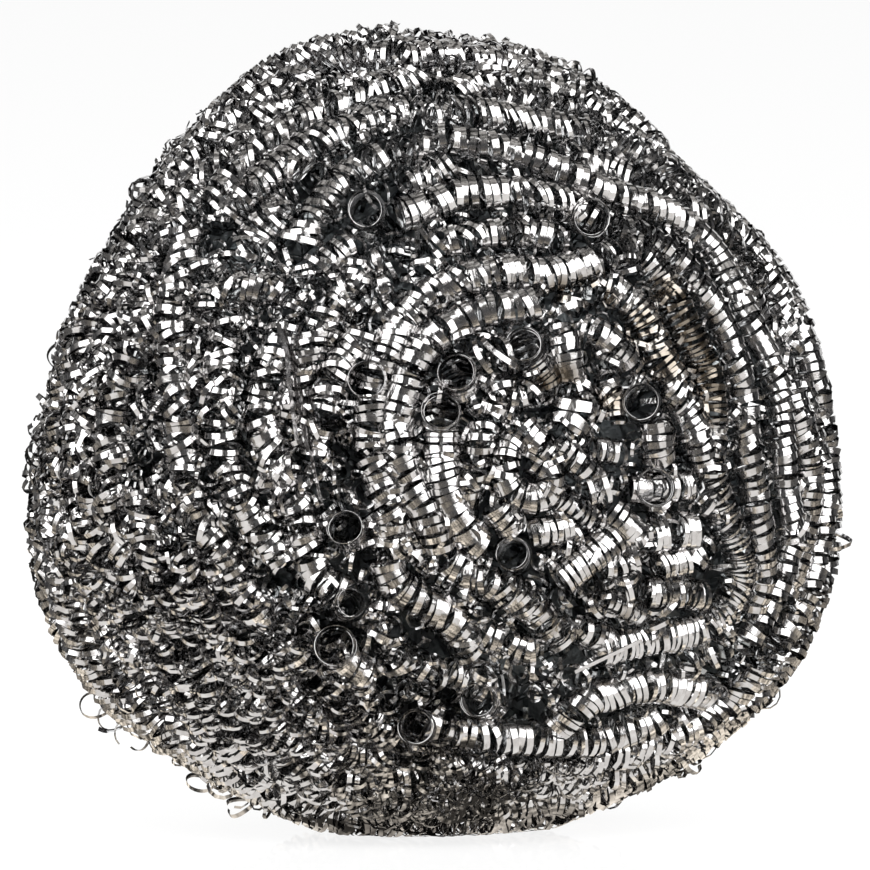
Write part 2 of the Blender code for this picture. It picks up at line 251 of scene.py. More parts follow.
def softNoise(rng, turns, beat):     # smooth random curve with a new value every beat turns
    values = rng.uniform(-1, 1, int(math.ceil((turns[-1] - turns[0]) / beat)) + 3)
    at = (turns - turns[0]) / beat
    whole = np.floor(at).astype(int)
    part = at - whole
    part = part * part * (3 - 2 * part)                  # eased
    return values[whole] * (1 - part) + values[whole + 1] * part


def evenSpring(name, radius, length, turnCount, look, segments):
    width = look["width"]
    spring = added(name, bpy.ops.mesh.primitive_circle_add, vertices=3, radius=ribbon["thickness"])
    section = [(-width / 2, 0, radius), (width / 2, 0, radius), (0, 0, radius - ribbon["thickness"])]
    for corner, place in zip(spring.data.vertices, section):
        corner.co = place
    screwed(spring, 2 * math.pi, length / turnCount, segments, turnCount)
    return spring


def unevenTurns(mesh, radius, pitch, look, segments, rng):
    places = placesOf(mesh).reshape(-1, 3, 3)            # step along the spring, corner of the section, xyz
    turns = np.arange(len(places)) / segments
    angle = np.arctan2(places[:, 0, 2], places[:, 0, 1])
    rings = int(turns[-1]) + 2
    strays = (rng.random(rings) < look["stray"]) * rng.uniform(*ribbon["strays"], rings)
    size = 1 + look["wobble"] * softNoise(rng, turns, beats["size"])
    size += np.interp(turns, np.arange(rings) + 0.5, strays)
    lean = softNoise(rng, turns, beats["lean"]) * np.cos(angle)
    lean = look["lean"] * (lean + softNoise(rng, turns, beats["lean"]) * np.sin(angle))
    fallen = rng.uniform(0, 2 * math.pi) + math.pi * softNoise(rng, turns, beats["fallen"])
    lean = lean + look["slump"] * np.cos(angle - fallen)
    spoke = radius * size[:, None] * unit(np.column_stack((lean, np.cos(angle), np.sin(angle))))
    middle = np.column_stack((
        pitch * (endRings(turns) + look["bunch"] * softNoise(rng, turns, beats["bunch"])),
        radius * look["wander"] * softNoise(rng, turns, beats["wander"]),
        radius * look["wander"] * softNoise(rng, turns, beats["wander"])))
    line = middle + spoke                                # the ribbon's own middle
    ahead = unit(np.gradient(line, axis=0))
    side = unit(np.cross(spoke, ahead))
    outward = np.cross(ahead, side)
    turned = rng.choice((-1, 1)) * look["shingle"] + look["twist"] * softNoise(rng, turns, beats["twist"])
    turned = np.radians(turned)[:, None]
    side, outward = (side * np.cos(turned) + outward * np.sin(turned),
                     outward * np.cos(turned) - side * np.sin(turned))
    across = (places[:, :, 0] - pitch * turns[:, None]) * rng.uniform(*ribbon["widths"])
    inward = np.hypot(places[:, :, 1], places[:, :, 2]) - radius
    places = line[:, None] + across[..., None] * side[:, None] + inward[..., None] * outward[:, None]
    putPlaces(mesh, places)
    way = np.zeros((len(places), 3, 3))                  # millimetres across and along, and a number
    way[:, :, 0] = np.array((-0.5, 0.5, 0.0)) * look["width"] * 1000
    way[:, :, 1] = (turns * 2 * math.pi * radius * 1000)[:, None]
    way[:, :, 2] = rng.uniform(0, ribbon["patterns"])
    storeOn(mesh, "ribbonWay", way.reshape(-1, 3))
    # painted shade: the material darkens the section's inner corner by this
    storeOn(mesh, "inside", np.tile((0.0, 0.0, 1.0), len(places)))   # the side towards the spring's axis
    mesh.update()


def endRings(turns):         # the first and the last turn lie flat, as a ring
    first = np.clip(turns, 0, 1)
    last = np.clip(turns[-1] - turns, 0, 1)
    return turns - (first - 2 * first ** 2 + first ** 3) + (last - 2 * last ** 2 + last ** 3)


def closeEnds(spring):
    work = bmesh.new()
    work.from_mesh(spring.data)
    bmesh.ops.holes_fill(work, edges=[edge for edge in work.edges if edge.is_boundary], sides=4)
    work.to_mesh(spring.data)
    work.free()


def layAlong(spring, points):        # bends a straight spring onto its way
    curve = bpy.data.curves.new("way", "CURVE")
    curve.dimensions = "3D"
    curve.use_path = True
    spline = curve.splines.new("POLY")
    spline.points.add(len(points) - 1)
    spline.points.foreach_set("co", np.column_stack((points, np.ones(len(points)))).ravel())
    guide = bpy.data.objects.new("way", curve)
    scene.collection.objects.link(guide)
    bend = spring.modifiers.new("way", "CURVE")
    bend.object = guide
    bend.deform_axis = "POS_X"
    bpy.context.view_layer.objects.active = spring
    bpy.ops.object.modifier_apply(modifier=bend.name)
    bpy.data.objects.remove(guide)
    bpy.data.curves.remove(curve)


def windSpring(name, diameter, points, look, segments, rng):
    way, length = smoothWay(points, ribbon["run"])
    turnCount = max(1, int(round(length / looks[look]["pitch"])))
    spring = evenSpring(name, diameter / 2, length, turnCount, looks[look], segments)
    unevenTurns(spring.data, diameter / 2, length / turnCount, looks[look], segments, rng)
    layAlong(spring, way)
    return spring


pressed = {                  # what would go through the floor is pressed flat on it
    "floor": 0.0001,
    "reach": 0.0006,         # from this far above it
}


def joinPiece(name, springs):
    bpy.ops.object.select_all(action="DESELECT")
    for spring in springs:
        spring.select_set(True)
    bpy.context.view_layer.objects.active = springs[0]
    bpy.ops.object.join()
    piece = bpy.context.object
    piece.name = piece.data.name = name
    places = placesOf(piece.data)
    floor, reach = pressed["floor"], pressed["reach"]
    low = places[:, 2] < floor + reach
    places[low, 2] = floor + reach * np.exp((places[low, 2] - floor - reach) / reach)
    putPlaces(piece.data, places)
    fromMiddle = places - bunMiddle
    depth = (skinReach(unit(fromMiddle)) - np.linalg.norm(fromMiddle, axis=1)) * 1000
    # depth below the skin, from which the ribbon material paints shade
    storeOn(piece.data, "depth", depth)                  # millimetres
    # painted shade and tan reflection, in patches
    tanShade = np.zeros(len(places))
    for place, radius in tanShadePatches:
        away = np.linalg.norm(places - onDrawing([place], tanShadeDepth), axis=1)
        tanShade += np.exp(-(away / radius) ** 4)
    storeOn(piece.data, "tanShade", np.clip(tanShade, 0, 1))
    piece.data.update()
    bpy.ops.object.shade_smooth_by_angle(angle=ribbon["crease"])
    piece.data.materials.clear()
    piece.data.materials.append(stainless)
    triangles = sum(len(face.vertices) - 2 for face in piece.data.polygons)
    print(name + ":", triangles, "triangles")
    return piece


# materials

steel = {
    "tones": [(0.3, (0.455, 0.440, 0.435)), (0.7, (0.620, 0.612, 0.612))],
    # painted shade: the ribbon's colour darkens towards this tone with depth below the bun's skin
    "depthShadeTone": (0.240, 0.255, 0.260, 1),
    "depthShadeFrom": 2.2,         # millimetres below the skin, where the painted shade begins
    "depthShadeTo": 6.0,
    # painted shade and tan reflection, on the tan patches
    "tanShadeTone": (0.235, 0.205, 0.170, 1),
    # painted shade on the ribbon's inner side, towards the spring's axis, so that the gaps between turns look
    # dark
    "innerShadeTone": (0.135, 0.140, 0.145, 1),
    "innerShadeFrom": 0.30,       # reached at this share of the way in from the ribbon's outer face
    "innerShadeShare": 0.75,      # how much of it is mixed in there
    "lineStretch": (16.0, 0.5, 1.0),
    "lineDepth": 0.00002,
    "smearScale": 0.7,
    "dentScale": 2.4,
    "dentDepth": 0.00006,
    "relief": 0.35,          # strength of the lines and of the dents
    "roughness": (0.05, 0.18),
}
packing = {
    "depth": 0.0072,
    "lumps": 0.0008,
    # dark tones: painted shade of the deeper windings
    "tones": [(0.0, (0.060, 0.070, 0.075)), (1.0, (0.200, 0.215, 0.220))],
    "grainScale": 900,
    "grainDepth": 0.0005,
    "roughness": 0.45,
}


def newMaterial(name):
    material = bpy.data.materials.new(name)
    material.use_nodes = True
    return material, material.node_tree


def setInputs(tree, node, inputs):   # an input is a value or another node's output
    for socket, value in inputs.items():
        if isinstance(value, bpy.types.NodeSocket):
            tree.links.new(value, node.inputs[socket])
        else:
            node.inputs[socket].default_value = value


def newNode(tree, kind, inputs):
    node = tree.nodes.new(kind)
    setInputs(tree, node, inputs)
    return node


def stored(tree, name):      # what storeOn has put at the vertices
    node = tree.nodes.new("ShaderNodeAttribute")
    node.attribute_name = name
    return node.outputs


def objectPlace(tree):
    return tree.nodes.new("ShaderNodeTexCoord").outputs["Object"]


def noise(tree, vector, scale, detail, roughness=0.5):
    inputs = {"Vector": vector, "Scale": scale, "Detail": detail, "Roughness": roughness}
    return newNode(tree, "ShaderNodeTexNoise", inputs).outputs["Fac"]


def stretched(tree, vector, scale):
    return newNode(tree, "ShaderNodeMapping", {"Vector": vector, "Scale": scale}).outputs["Vector"]


def mapped(tree, value, ends):
    return newNode(tree, "ShaderNodeMapRange", {"Value": value, **ends}).outputs["Result"]


def tones(tree, value, stops):
    ramp = newNode(tree, "ShaderNodeValToRGB", {"Fac": value})
    for number, (at, tint) in enumerate(stops):
        stop = ramp.color_ramp.elements[number] if number < 2 else ramp.color_ramp.elements.new(at)
        stop.position = at
        stop.color = (*tint, 1)
    return ramp.outputs["Color"]


def tinted(tree, colour, share, tint):
    mix = tree.nodes.new("ShaderNodeMix")
    mix.data_type = "RGBA"
    setInputs(tree, mix, {"Factor": share, "A": colour, "B": tint})
    return mix.outputs["Result"]


def bumped(tree, height, strength, distance):
    return newNode(tree, "ShaderNodeBump", {"Height": height, "Strength": strength, "Distance": distance})


def aboveOrigin(tree, place):
    return newNode(tree, "ShaderNodeSeparateXYZ", {0: place}).outputs["Z"]


def fromOrigin(tree, place):
    measure = tree.nodes.new("ShaderNodeVectorMath")
    measure.operation = "LENGTH"
    setInputs(tree, measure, {0: place})
    return measure.outputs["Value"]


def worked(tree, operation, first, second):
    node = tree.nodes.new("ShaderNodeMath")
    node.operation = operation
    setInputs(tree, node, {0: first, 1: second})
    return node.outputs[0]


def mixSurface(tree, share, first, second):
    mix = newNode(tree, "ShaderNodeMixShader", {"Fac": share, 1: first, 2: second})
    setInputs(tree, tree.nodes["Material Output"], {"Surface": mix.outputs["Shader"]})


def stainlessRibbon():       # bright ribbon with the fine lines of its drawing and rolling, and painted shade deep in the bun, on its inner side and in tan patches
    material, tree = newMaterial("stainlessRibbon")
    way = stored(tree, "ribbonWay")["Vector"]
    lines = noise(tree, stretched(tree, way, steel["lineStretch"]), 1.0, 3.0)
    smears = noise(tree, way, steel["smearScale"], 2.0)
    dents = noise(tree, way, steel["dentScale"], 1.0)
    # painted shade: darker with depth below the skin
    depthShade = mapped(tree, stored(tree, "depth")["Fac"],
                  {"From Min": steel["depthShadeFrom"], "From Max": steel["depthShadeTo"]})
    # painted shade on the inner side of the ribbon
    inner = mapped(tree, stored(tree, "inside")["Fac"],
                   {"From Max": steel["innerShadeFrom"], "To Max": steel["innerShadeShare"]})
    colour = tones(tree, smears, steel["tones"])
    colour = tinted(tree, colour, depthShade, steel["depthShadeTone"])
    # painted shade and tan reflection
    colour = tinted(tree, colour, stored(tree, "tanShade")["Fac"], steel["tanShadeTone"])
    colour = tinted(tree, colour, inner, steel["innerShadeTone"])
    smooth, rough = steel["roughness"]
    lined = bumped(tree, lines, steel["relief"], steel["lineDepth"])
    dented = bumped(tree, dents, steel["relief"], steel["dentDepth"])
    setInputs(tree, dented, {"Normal": lined.outputs["Normal"]})
    setInputs(tree, tree.nodes["Principled BSDF"],
              {"Base Color": colour, "Metallic": 1.0, "Normal": dented.outputs["Normal"],
               "Roughness": mapped(tree, lines, {"To Min": smooth, "To Max": rough})})
    return material


# painted shade: its dark tones paint the shade of the deeper windings it stands in for
def packedShadeRibbon():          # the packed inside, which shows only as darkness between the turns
    material, tree = newMaterial("packedShadeRibbon")
    grain = noise(tree, objectPlace(tree), packing["grainScale"], 2.0)
    rough = bumped(tree, grain, 1.0, packing["grainDepth"])
    setInputs(tree, tree.nodes["Principled BSDF"],
              {"Base Color": tones(tree, grain, packing["tones"]), "Metallic": 1.0,
               "Roughness": packing["roughness"], "Normal": rough.outputs["Normal"]})
    return material


stainless = stainlessRibbon()
packed = packedShadeRibbon()


# windings that the front shows by themselves: look, diameter as a share of the strand's, drop, way.
# The drop and the third number that some places have say how much deeper it lies, in the drawing's unit.

drawnStrands = {
    "outerArc": ("rope", 0.82, 0, [(440, 138), (490, 147), (540, 162), (600, 189), (665, 213), (706, 245),
        (732, 290), (754, 335), (774, 378), (780, 420), (781, 460), (786, 505), (789, 535), (781, 572),
        (765, 608), (745, 643)]),
    "secondArc": ("rope", 0.80, 0, [(613, 228), (650, 239), (680, 263), (712, 306), (732, 350), (743, 395),
        (746, 440), (751, 478), (757, 512), (761, 548), (762, 575), (752, 612)]),
    "thirdArc": ("thin", 0.90, 2, [(600, 258), (618, 251), (640, 256), (667, 290), (686, 330), (706, 372),
        (711, 420), (709, 465), (722, 512), (739, 560), (727, 602), (695, 629), (640, 640), (595, 650)]),
    "fourthArc": ("thin", 0.95, 6, [(605, 285), (638, 315), (656, 352), (676, 388), (692, 420),
        (703, 458)]),
    "topArc": ("hoops", 0.88, 0, [(435, 108), (500, 116), (560, 128), (625, 149), (690, 195), (740, 236),
        (768, 282), (790, 335)]),
    "crownArc": ("hoops", 0.95, 0, [(330, 62), (400, 58), (470, 62), (540, 78), (600, 102), (660, 142)]),
    "rightRim": ("rope", 0.84, 0, [(798, 330), (812, 380), (822, 430), (824, 470), (820, 520), (811, 568),
        (797, 608), (775, 643)]),
    "upperBow": ("rope", 0.95, 0, [(398, 216), (430, 205), (463, 195), (506, 192)]),
    "upperBowEnd": ("barrel", 0.90, 0, [(584, 212), (594, 220)]),
    "shortBow": ("easy", 0.85, 3, [(435, 243), (463, 240), (510, 232), (565, 240)]),
    "wideRing": ("barrel", 0.95, 2, [(595, 262), (548, 274), (500, 272), (455, 283), (418, 305),
        (394, 338), (376, 385), (370, 440), (383, 490), (392, 522), (388, 546)]),
    "ringFold": ("rope", 0.98, 0, [(385, 561), (397, 584), (421, 601), (445, 615), (462, 634),
        (469, 650)]),
    "innerRing": ("rope", 0.95, 1, [(540, 303), (490, 310), (448, 328), (415, 360), (399, 405), (398, 450),
        (413, 490), (432, 527), (440, 546)]),
    "innerRingTail": ("easy", 0.90, 3, [(446, 557), (462, 570), (480, 580), (497, 590)]),
    "lowerBow": ("rope", 0.95, 0, [(425, 722), (460, 732), (505, 736), (560, 740), (607, 735),
        (660, 716)]),
    "lowerArc": ("barrel", 0.95, 1, [(555, 728), (575, 709), (600, 695), (650, 685), (705, 692)]),
    "slant": ("barrel", 0.95, 2, [(500, 585), (522, 601), (542, 617), (562, 638)]),
    "lowPatch": ("loose", 0.90, 3, [(394, 658), (412, 664), (432, 672)]),
    "greyBow": ("easy", 0.85, 8, [(482, 632), (500, 641), (518, 646), (538, 652)]),
    "greyTail": ("easy", 0.85, 8, [(572, 626), (590, 632), (608, 644)]),
    "patchTail": ("loose", 0.85, 6, [(445, 665), (470, 680), (500, 690)]),
    "leftSlope": ("easy", 0.95, 1, [(231, 316), (224, 345), (221, 385), (224, 430), (228, 466), (241, 498),
        (260, 527), (281, 560)]),
    "leftTangle": ("loose", 0.90, 2, [(214, 296), (236, 289), (262, 288), (292, 293)]),
    "leftFold": ("easy", 0.96, 1, [(262, 405), (265, 432), (274, 456), (284, 480), (296, 503), (303, 524),
        (306, 545), (312, 566), (326, 584), (347, 596)]),
    "leftLow": ("easy", 0.90, 3, [(190, 512), (209, 532), (226, 554), (240, 578), (252, 602), (272, 628),
        (298, 656)]),
    "leftUpright": ("easy", 0.95, 0, [(189, 232), (182, 268), (174, 305), (172, 345), (178, 385),
        (182, 425), (185, 466), (194, 508)]),
    "upperLeft": ("easy", 0.90, 2, [(298, 245), (318, 211), (349, 176), (387, 158), (425, 146)]),
    "upperLeftEnd": ("easy", 0.85, 3, [(318, 268), (352, 241)]),
    "mouthArch": ("easy", 0.95, 4, [(572, 300, 14), (566, 311, 6), (562, 324, 4)]),
    "mouthStrand": ("packed", 0.88, 0, [(563, 334, 2), (565, 348), (568, 366, 1), (571, 382, 6)]),
    "crescents": ("loose", 1.20, 0, [(486, 357), (499, 354), (514, 349)]),
    "darkMouth": ("packed", 0.92, 0, [(524, 344, -17), (528, 351, 2), (539, 367, 8), (550, 384, 12)]),
    "openRing": ("packed", 0.94, 0, [(457, 371, -20), (458, 376, 0), (463, 392, 14)]),
    "smallRing": ("packed", 0.98, 0, [(441, 410, -20), (441, 418, 0), (441, 440, 4), (442, 470, 1),
        (449, 500, 2), (464, 528, 5), (478, 545, 9)]),
    "stackDrop": ("easy", 0.80, 2, [(502, 383), (497, 405), (484, 425), (479, 446), (477, 468),
        (468, 490)]),
    "twoLoops": ("loose", 0.80, 2, [(510, 397), (519, 396), (531, 393)]),
    "fan": ("easy", 1.30, 1, [(575, 386, 8), (575, 402, 2), (569, 418), (563, 433, 6)]),
    "slopeBarrel": ("packed", 0.90, 1, [(589, 331, 8), (604, 338), (618, 350), (630, 367, 6)]),
    "brownBarrel": ("packed", 0.64, 7, [(605, 379), (612, 397), (612, 419)]),
    "brightLoops": ("loose", 0.72, 0, [(584, 408), (593, 410), (603, 412)]),
    "facingRing": ("packed", 0.94, 0, [(641, 402, -22), (642, 403, -4), (645, 408, 20)]),
    "rightSlope": ("barrel", 0.90, 1, [(668, 386), (680, 405), (691, 426), (699, 448), (706, 470)]),
    "rightBarrel": ("packed", 0.92, 0, [(654, 425), (655, 440), (657, 455), (659, 468, 6)]),
    "blackMouth": ("packed", 0.96, 0, [(656, 487, -23), (653, 488, -2), (648, 489, 26)]),
    "behindMouth": ("packed", 0.85, 12, [(626, 488), (655, 488), (686, 486)]),
    "crescent": ("easy", 1.00, 1, [(587, 489), (600, 486), (613, 488)]),
    "middleBarrel": ("barrel", 0.85, 1, [(560, 445), (572, 457), (584, 468), (592, 477, 8)]),
    "middleTop": ("packed", 0.70, 2, [(586, 449), (604, 450), (622, 454)]),
    "innerBarrel": ("packed", 0.88, 0, [(525, 431, 4), (537, 444), (551, 457, 4)]),
    "flower": ("barrel", 0.80, 0, [(514, 438, 3), (505, 459), (506, 484), (524, 500), (546, 492),
        (551, 474), (538, 464, 6)]),
    "flowerTail": ("barrel", 0.80, 2, [(549, 494), (566, 503), (584, 514), (597, 521, 4)]),
    "lowBarrel": ("packed", 0.80, 2, [(495, 505), (505, 520), (515, 536)]),
    "lowMidBarrel": ("packed", 0.78, 2, [(530, 533), (548, 530), (568, 526)]),
    "bigBarrel": ("packed", 1.00, -3, [(560, 578), (588, 557), (613, 537)]),
    "smallSlope": ("packed", 0.88, 0, [(612, 513, 4), (624, 526), (637, 539, 4)]),
    "leftLobe": ("barrel", 0.88, 0, [(649, 537), (658, 536), (668, 536)]),
    "rightLobe": ("barrel", 1.02, 0, [(674, 531), (684, 531), (695, 530)]),
    "brightPair": ("barrel", 0.64, 1, [(604, 567), (620, 565), (638, 563)]),
    "smallBarrel": ("barrel", 0.66, 3, [(606, 600), (623, 606), (640, 614)]),
    "brightRight": ("packed", 0.82, 1, [(656, 566), (669, 563), (684, 560)]),
    "flatBarrel": ("packed", 0.85, 1, [(646, 592), (670, 592), (702, 596)]),
    "upperMouth": ("packed", 0.95, 0, [(592, 217, -20), (570, 213, 30)]),
    "leftMouth": ("packed", 0.95, 0, [(367, 379, -22), (370, 382, 30)]),
    "topLeftMouth": ("packed", 0.90, 0, [(366, 209, -20), (370, 217, 30)]),
    "lowLeftMouth": ("packed", 1.05, 0, [(335, 645, -22), (337, 650), (348, 664, 2), (364, 678, 6)]),
    "lowMouth": ("packed", 0.90, 0, [(478, 700, -20), (492, 702, 30)]),
    "bottomMouth": ("packed", 0.90, 0, [(416, 726, -20), (434, 730, 30)]),
    "leftMiddleMouth": ("packed", 0.90, 0, [(345, 527, -20), (353, 537, 30)]),
    "smallLeftMouth": ("packed", 0.75, 0, [(350, 603, -18), (340, 611, 30)]),
    "middleMouth": ("packed", 0.85, 0, [(512, 553, -20), (518, 559, 30)]),
    "upperBowHoops": ("hoops", 0.92, 0, [(514, 193), (550, 200), (578, 212)]),
}
openEnds = ["darkMouth", "openRing", "smallRing", "facingRing", "blackMouth", "upperMouth", "leftMouth",
            "topLeftMouth", "lowLeftMouth", "lowMouth", "bottomMouth", "leftMiddleMouth", "smallLeftMouth",
            "middleMouth"]


def drawnSprings():
    springs, marks, ends = [], [], []
    for number, (name, (look, share, drop, places)) in enumerate(drawnStrands.items()):
        diameter = share * ribbon["strand"]
        points = onDrawing(places, diameter / 2 + drop * drawing["unit"])
        springs.append(windSpring(name, diameter, points, look, turnSides["drawn"],
                                  np.random.default_rng(seeds["drawn"] + number)))
        way = smoothWay(points, rims["run"])[0]
        marks.append(way)
        if name in openEnds:
            springs += mouthRims(name, way, diameter / 2, np.random.default_rng(seeds["rims"] + number))
            ends.append((way[0] + way[1]) / 2)
    return springs, np.vstack(marks), np.array(ends)


rims = {                     # the first turns' bright edge round an open end
    "count": 2,
    "run": 0.002,            # step of the way that gives its direction
    "sides": 32,
    "wireSides": 5,
    "wire": 0.000026,        # radius
    "smaller": 0.05,         # the second one, as a share of the radius
    "step": 0.0004,          # and how much further in it lies
    "tilt": 0.10,
    "off": 0.00008,
    "stretch": (0.95, 1.03),
    "dim": (0.10, 0.22),     # painted shade: how near their tone is to the ribbon's darkened inner side
}


def mouthRims(name, way, radius, rng):
    made = []
    inward = Vector(way[1] - way[0]).normalized()
    for turn in range(rims["count"]):
        rim = added(name + "Rim" + str(turn), bpy.ops.mesh.primitive_torus_add,
                    major_segments=rims["sides"], minor_segments=rims["wireSides"],
                    major_radius=radius * (1 - rims["smaller"] * turn), minor_radius=rims["wire"])
        tilt = Vector(rng.normal(size=3) * rims["tilt"])
        rim.rotation_mode = "QUATERNION"
        rim.rotation_quaternion = (inward + tilt).to_track_quat("Z", "Y")
        off = Vector(rng.normal(size=3) * rims["off"])
        rim.location = Vector(way[0]) + inward * rims["step"] * turn + off
        rim.scale = (rng.uniform(*rims["stretch"]), rng.uniform(*rims["stretch"]), 1)
        bpy.ops.object.transform_apply(location=True, rotation=True, scale=True)
        # painted shade: each rim takes some of the inner side's dark tone
        storeOn(rim.data, "inside", np.full(len(rim.data.vertices), rng.uniform(*rims["dim"])))
        made.append(rim)
    return made


hollows = [                  # dark places between the windings: place, radius, and how much deeper
    ((485, 491), 0.0014, 0.0035),
    ((592, 372), 0.0014, 0.0030),
    ((591, 398), 0.0012, 0.0030),
    ((634, 452), 0.0010, 0.0025),
    ((358, 568), 0.0015, 0.0030),
    ((405, 622), 0.0017, 0.0035),
    ((432, 646), 0.0017, 0.0035),
    ((530, 548), 0.0014, 0.0025),
    ((478, 612), 0.0014, 0.0020),
    ((500, 706), 0.0016, 0.0030),
    ((592, 668), 0.0014, 0.0025),
    ((545, 690), 0.0014, 0.0025),
    ((330, 232), 0.0014, 0.0025),
    ((150, 395), 0.0014, 0.0016),
    ((149, 428), 0.0016, 0.0020),
    ((147, 462), 0.0014, 0.0016),
    ((204, 250), 0.0014, 0.0018),
    ((199, 290), 0.0013, 0.0016),
    ((199, 378), 0.0013, 0.0016),
    ((245, 412), 0.0012, 0.0018),
    ((249, 446), 0.0013, 0.0020),
    ((258, 566), 0.0012, 0.0018),
]
openHollows = 13             # the first ones reach through the second layer too
tanShadeDepth = 0.0012
tanShadePatches = [               # painted shade and tan reflection: where the ribbon is darker and tan, place and radius
    ((668, 292), 0.0022),
    ((684, 318), 0.0024),
    ((700, 345), 0.0026),
    ((709, 378), 0.0022),
    ((712, 408), 0.0020),
    ((640, 322), 0.0022),
    ((664, 362), 0.0024),
    ((612, 400), 0.0018),
    ((608, 300), 0.0014),
    ((566, 374), 0.0013),
    ((545, 382), 0.0014),
    ((560, 290), 0.0016),
    ((590, 290), 0.0014),
    ((588, 573), 0.0014),
    ((680, 602), 0.0014),
    ((548, 622), 0.0014),
    ((622, 612), 0.0012),
]


# the rest of the winding: a spiral from pole to pole

windings = {
    "step": 0.0037,          # from one winding to the next
    "first": 0.0080,         # radius of the innermost one
    "lowerFirst": 0.6,       # in the deeper layers, as a share of that
    "run": 0.0030,
    "wander": 0.0008,
    "clear": 0.0028,         # from the strands that are drawn by themselves, and from the hollows
    "length": 0.060,         # longest stretch in one spring
    "deepStep": 0.0048,
    "deepDrop": 0.0024,      # how much lower the second layer lies
    "deepClear": 0.0020,     # from the hollows and the open ends
    "innerStep": 0.0058,
    "innerDrop": 0.0046,
    "hoopsAbove": 0.058,     # above this height the turns lie like hoops, with few curls on them
    "hoopsBelow": 0.020,     # and below this one too
    "front": 0.006,          # further than this towards the eye is the front
    "tight": 0.18,           # where its windings are less loose, none lies under them, for dark grooves
    "spread": 0.25,          # how much the looseness differs from one to the next
    "diameters": (0.92, 1.04),
}


def spiralWays(step, depth, marks, clear, wander, start):
    meanRadius = halfSizes.mean()
    polar, roundAngle = start / meanRadius, 0.0
    ways, way = [], []
    while polar < math.pi - start / meanRadius / 2:
        # no two rounds lie quite the same
        stray = math.sin(3 * roundAngle + 4 * polar) + 0.6 * math.sin(5.3 * roundAngle)
        lean = polar + wander / meanRadius * stray
        direction = np.array(((math.sin(lean) * math.cos(roundAngle), -math.cos(lean),
                               math.sin(lean) * math.sin(roundAngle)),))
        point = onSkin(direction, depth + wander * (0.5 + 0.5 * math.sin(7.1 * roundAngle)))[0]
        free = np.linalg.norm(marks - point, axis=1).min() > clear
        if free:
            way.append(point)
        if not free or len(way) * windings["run"] > windings["length"]:
            if len(way) > 2:
                ways.append(np.array(way))
            way = way[-1:] if free else []
        turn = windings["run"] / max(meanRadius * math.sin(polar), ribbon["strand"])
        roundAngle += turn
        polar += step / meanRadius * turn / (2 * math.pi)
    if len(way) > 2:
        ways.append(np.array(way))
    return ways


tangle = {
    "middle": 0.56,          # looseness half way
    "leftwards": 0.45,       # more at the left of the bun
    "halfWidth": 0.042,
    "backwards": 0.15,       # and at its back
    "halfDepth": 0.034,
}


def looseness(point):        # 0 at the tight right of the front, 1 at the tangled left
    across = point @ toRight / tangle["halfWidth"]
    towards = (point - bunMiddle) @ toEye / tangle["halfDepth"]
    return tangle["middle"] - tangle["leftwards"] * across - tangle["backwards"] * towards


def woundSprings(ways, seed, segments, name):
    springs = []
    for number, way in enumerate(ways):
        rng = np.random.default_rng(seed + number)
        middle = way.mean(axis=0)
        loose = looseness(middle) + rng.uniform(-windings["spread"], windings["spread"])
        if name == "deep" and loose < windings["tight"] and middle @ toEye > windings["front"]:
            continue
        look = ("barrel", "easy", "loose", "tangled")[int(np.clip(loose * 4, 0, 3))]
        if not windings["hoopsBelow"] <= middle[2] <= windings["hoopsAbove"]:
            look = "hoops"
        diameter = ribbon["strand"] * rng.uniform(*windings["diameters"])
        springs.append(windSpring(name + str(number), diameter, way, name if name in looks else look,
                                  segments, rng))
    return springs


curls = {                    # short stray ends that lie over the windings
    "count": 1400,
    "radius": 0.0015,
    "sway": (0.0009, 0.0019),    # how far their turns stray from that radius
    "lift": (-0.0003, 0.0016),   # how much deeper than their sway their middles lie
    "share": 1.3,                # how many stay, for each unit of looseness
    "lowest": 0.003,
    "sparseBelow": 0.024,
    "leftOutBelow": 0.60,        # share of those on the front
    "leftOutAbove": 0.65,        # share of those where the turns lie like hoops
    "flatness": 0.7,
    "clear": 0.0028,             # from the open ends
}
fine = {                     # small ones between the windings of the front
    "count": 2000,
    "radius": 0.0008,
    "sway": (0.0005, 0.0010),
    "lift": (0.0000, 0.0022),
    "lowest": 0.002,
    "facing": 0.05,              # none lies on the sides that turn away
    "leftOut": 0.70,             # share of those low and high on the bun
    "clear": 0.0024,
}
loops = [                    # stray loops on the outline: place, sway, and how they are turned
    (96, 706, 0.0014, 0.5, 0.3),
    (110, 718, 0.0019, 0.3, -0.4),
    (133, 734, 0.0016, -0.4, 0.3),
    (67, 333, 0.0008, 0.6, 0.1),
    (62, 356, 0.0010, 0.2, 0.3),
    (41, 500, 0.0013, -0.3, 0.6),
    (52, 600, 0.0012, 0.5, 0.5),
    (556, 76, 0.0014, 0.3, 0.5),
    (588, 84, 0.0017, 0.5, -0.2),
    (833, 508, 0.0013, -0.5, 0.2),
    (836, 540, 0.0011, 0.5, 0.3),
    (742, 704, 0.0014, 0.3, 0.4),
    (668, 762, 0.0020, 0.2, -0.3),
    (632, 784, 0.0017, -0.4, 0.2),
    (200, 782, 0.0015, 0.4, 0.2),
    (240, 806, 0.0013, -0.2, 0.5),
]


def placeCurl(pattern, sway, look, segments, middle, along, rng):
    curl = pattern.copy()
    curl.data = pattern.data.copy()
    scene.collection.objects.link(curl)
    unevenTurns(curl.data, sway, looks[look]["pitch"], looks[look], segments, rng)
    places = placesOf(curl.data)
    across = unit(np.cross(along, rng.normal(size=3)))
    axes = np.array((along, across, np.cross(along, across)))
    places = np.array(middle) + (places - places.mean(axis=0)) @ axes
    putPlaces(curl.data, places)
    return curl


